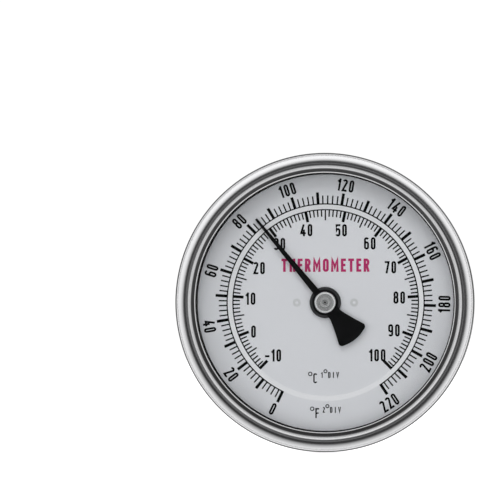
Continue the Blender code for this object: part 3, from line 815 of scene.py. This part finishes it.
def make_pointer():
    """The pointer: a long tapered needle, an eye on the collar and a flared tail."""
    _, rear, front = span("pointer_collar")
    low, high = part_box("pointer")
    blade_rear, blade_front = -high.y / MM, -low.y / MM
    eye = arc((0, 0), (3.6, 3.6), 75, -58, 16)
    half = [(0.33, 30.3), (0.95, 3.8)] + eye
    tail_y, tail_length, waist, flare = -4.4, 7.0, 1.95, 2.57
    steps = 14
    for k in range(steps + 1):
        along = k / steps
        half.append((waist + flare * along ** 1.15, tail_y - tail_length * along))
    corner = arc((3.48, -11.55), (1.05, 1.05), 8, -70, 8)
    half += corner + [(2.9, -12.8), (1.95, -13.05), (0.95, -13.19)]
    turn = angle_f(REST_F)
    outline = half + [(0, -13.24)] + [(-x, y) for x, y in reversed(half)]
    outline = [(x * math.cos(turn) + y * math.sin(turn), y * math.cos(turn) - x * math.sin(turn))
               for x, y in outline]
    blade = prism("pointer_blade", outline, [circle(EYE_R, 32)], blade_rear, blade_front, BLACK)
    bevel(blade, 0.05, 2)
    place_piece(blade, "pointer", "pointer", slot="pointer_black")
    radius = span("pointer_collar")[0]
    outline = rounded([(EYE_R, front, 0), (radius, front, 0.25), (radius, rear, 0.15), (EYE_R, rear, 0)])
    boss = lathe("pointer_boss", outline, COLLAR, SMALL_SEGMENTS)
    place_piece(boss, "pointer", "pointer_collar", slot="pointer_black")


def make_hub():
    """The turned cap with its bright rim, turning rings and centre dimple, over a black ring."""
    radius, rear, front = span("pointer_hub")
    outline = rounded([
        (0, front - 0.22, 0), (0.42, front - 0.2, 0.1), (0.62, front - 0.02, 0.1),
        (1.3, front - 0.06, 0.1), (1.42, front - 0.1, 0.05), (1.54, front - 0.06, 0.05),
        (2.2, front - 0.06, 0.05), (2.3, front - 0.1, 0.05), (2.42, front - 0.04, 0.05),
        (2.72, front, 0.12), (radius, front - 0.12, 0.15), (radius, rear, 0.05),
        (EYE_R, rear, 0), (EYE_R, rear + 0.5, 0), (0, rear + 0.5, 0)], closed=False)
    cap = lathe("hub_cap", outline, HUB, SMALL_SEGMENTS)
    place_piece(cap, "pointer", "pointer_hub", slot="turned_steel")
    inner, outer = radius + 0.02, 3.4
    outline = rounded([
        (inner, rear + 0.3, 0.1), (outer, rear + 0.15, 0.15), (outer, rear, 0), (inner, rear, 0)])
    place_piece(lathe("hub_ring", outline, BLACK, SMALL_SEGMENTS), "pointer", slot="pointer_black")


# ---------------------------------------------------------------- pieces kept from the frame

def repaint(node, material):
    """Gives a CAD node a better material."""
    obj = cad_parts[node]
    for material_slot in obj.material_slots:
        material_slot.material = material


def make_kept_pieces():
    """The works inside, which stay as the frame has them."""
    for node in ("guide_bushing", "neck_guide", "stem_guide", "helix_drive_collar", "helix_anchor",
                 "dial_carrier", "dial_gear", "calibration_pinion"):
        repaint(node, BRASS)
    for node in ("spindle", "bimetal_helix", "friction_washer", "carrier_clip", "calibration_clip"):
        repaint(node, SPRING)
    repaint("calibration_seal", RUBBER)


# ---------------------------------------------------------------- studio

def make_floor():
    """A white floor just under the bezel. It shows only to the camera, and not in the steel."""
    size = 3.0
    bm = bmesh.new()
    bmesh.ops.create_grid(bm, x_segments=1, y_segments=1, size=size)
    mesh = bpy.data.meshes.new("floor")
    bm.to_mesh(mesh)
    bm.free()
    floor = bpy.data.objects.new("floor", mesh)
    floor.location = (0, 0, cad_box[0].z - 0.0005)
    bpy.context.collection.objects.link(floor)
    material, nodes = new_material("white_floor")
    nodes.finish(Base_Color=(0.85, 0.85, 0.85, 1), Roughness=0.9, Specular_IOR_Level=0.1,
                 Emission_Color=(1, 1, 1, 1), Emission_Strength=0.75)
    mesh.materials.append(material)
    floor.visible_glossy = False
    floor.visible_diffuse = False
    floor.visible_transmission = False
    floor.visible_shadow = False


# (degrees from straight ahead of the dial, brightness) of the studio that the steel mirrors
TENT = [(0, 1.20), (25, 1.12), (45, 0.68), (59, 0.08), (76, 0.08), (86, 0.9), (100, 1.0)]
# (height of a direction from -1 to 1, factor) behind the dial: a bright roof over a dark horizon
ROOF = [(-1.0, 0.4), (-0.75, 0.8), (-0.45, 1.05), (-0.15, 0.95), (0.02, 0.4), (0.2, 0.5), (0.45, 1.25),
        (1.0, 1.0)]
# (side of a direction from -1 to 1, factor) behind the dial: bright cards between darker gaps
CARDS = [(-1.0, 0.7), (-0.7, 1.2), (-0.35, 0.75), (0.0, 1.1), (0.4, 1.2), (0.65, 0.8), (0.85, 1.2),
         (1.0, 0.7)]
CAMERA_AZIMUTH, CAMERA_ELEVATION = math.radians(3.4), math.radians(-0.6)
DARK_HOLE = (3.2, 4.4)       # degrees from the camera opening's middle, fully dark to fully bright
HOLE_LEVEL = 0.02
LIFT = (1.25, 0.72)          # the tent's factor at its foot and at its top


def make_world():
    """White behind the object, and a studio in the steel.

    The studio has a tent ahead with a dark ring and a camera opening, and a roof and side cards behind.
    """
    world = bpy.data.worlds.new("studio")
    bpy.context.scene.world = world
    world.use_nodes = True
    nodes = Nodes(world.node_tree)
    direction = nodes.add("ShaderNodeTexCoord").outputs["Generated"]
    parts = nodes.add("ShaderNodeSeparateXYZ", {0: direction}).outputs

    def across(axis, stops):
        """A ramp along an axis of the direction."""
        along = nodes.remap(parts[axis], (-1.0, 1.0))
        return nodes.ramp(along, [((place + 1) / 2, float(level)) for place, level in stops])

    tent = across("Y", [(-math.cos(math.radians(angle)), level) for angle, level in TENT])
    opening = (-math.sin(CAMERA_AZIMUTH), -math.cos(CAMERA_AZIMUTH), -math.sin(CAMERA_ELEVATION))
    nearness = nodes.vector_math("DOT_PRODUCT", direction, opening, output="Value")
    dark, bright = (math.cos(math.radians(angle)) for angle in DARK_HOLE)
    outside = nodes.remap(nearness, (bright, dark), (1.0, HOLE_LEVEL))
    lift = nodes.remap(parts["Z"], (-0.5, 0.5), LIFT)
    ahead = nodes.math("MULTIPLY", lift, outside)
    rear = nodes.math("MULTIPLY", across("Z", ROOF), across("X", CARDS))
    behind = nodes.remap(parts["Y"], (-0.15, 0.1))
    shape = nodes.add("ShaderNodeMix", {"Factor": behind, "A": ahead, "B": rear})
    studio = nodes.add("ShaderNodeBackground", {"Color": tent, "Strength": shape.outputs[0]}).outputs[0]
    white = nodes.add("ShaderNodeBackground", {"Color": (1, 1, 1, 1), "Strength": 1.05}).outputs[0]
    seen = nodes.add("ShaderNodeLightPath").outputs["Is Camera Ray"]
    mixed = nodes.add("ShaderNodeMixShader", {0: seen, 1: studio, 2: white}).outputs[0]
    nodes.add("ShaderNodeOutputWorld", {"Surface": mixed})


def area_light(name, place, target, size, power):
    """A softbox that lights the object and is never seen itself, in the steel or through the glass."""
    light = bpy.data.lights.new(name, "AREA")
    light.shape = "RECTANGLE"
    light.size, light.size_y = size
    light.energy = power
    lamp = bpy.data.objects.new(name, light)
    lamp.location = place
    lamp.rotation_euler = (Vector(target) - Vector(place)).to_track_quat("-Z", "Y").to_euler()
    lamp.visible_camera = False
    lamp.visible_glossy = False
    lamp.visible_transmission = False
    bpy.context.collection.objects.link(lamp)


def make_lights():
    """Soft lights for the dial: a key from above, and fills from both sides and ahead.

    The steel doesn't mirror them; it mirrors only the world.
    """
    dial = (0, -DIAL_FRONT * MM, 0)
    area_light("key", (-0.05, -0.50, 0.55), dial, (0.5, 0.4), 1.9)
    area_light("fill_left", (-0.55, -0.42, 0.05), dial, (0.3, 0.5), 0.95)
    area_light("fill_right", (0.55, -0.42, 0.05), dial, (0.3, 0.5), 0.95)
    area_light("front", (0.0, -0.80, -0.1), dial, (0.4, 0.4), 0.75)


def make_camera():
    """A long lens that faces the dial from slightly to its right, with the dial low and right in the view."""
    sensor = 36.0
    distance = 0.85
    width_seen = 0.1352          # of the dial's plane
    beside, below = 0.0222, 0.01616          # of the dial's centre from the middle of the picture
    dial = Vector((0, -span("bezel_ring")[2] * MM, 0))
    level = math.cos(CAMERA_ELEVATION)
    back = Vector((
        math.sin(CAMERA_AZIMUTH) * level, -math.cos(CAMERA_AZIMUTH) * level, math.sin(CAMERA_ELEVATION)))
    data = bpy.data.cameras.new("camera")
    data.sensor_width = sensor
    data.lens = sensor * distance / width_seen
    camera = bpy.data.objects.new("camera", data)
    bpy.context.collection.objects.link(camera)
    bpy.context.scene.camera = camera
    straight = (-back).to_track_quat("-Z", "Y")
    aim = dial - straight @ Vector((beside, -below, 0))
    camera.location = dial + back * distance
    camera.rotation_mode = "QUATERNION"
    camera.rotation_quaternion = (aim - camera.location).to_track_quat("-Z", "Y")


make_bezel()
make_case()
make_window()
make_flange()
make_tubes()
make_welds()
make_screw()
make_dial()
for printed in (make_fahrenheit_scale(), make_celsius_scale(), *make_words()):
    place_piece(printed, "dial")
make_pointer()
make_hub()
make_kept_pieces()
make_floor()
make_world()
make_lights()
make_camera()
bpy.context.scene.view_settings.view_transform = "Standard"
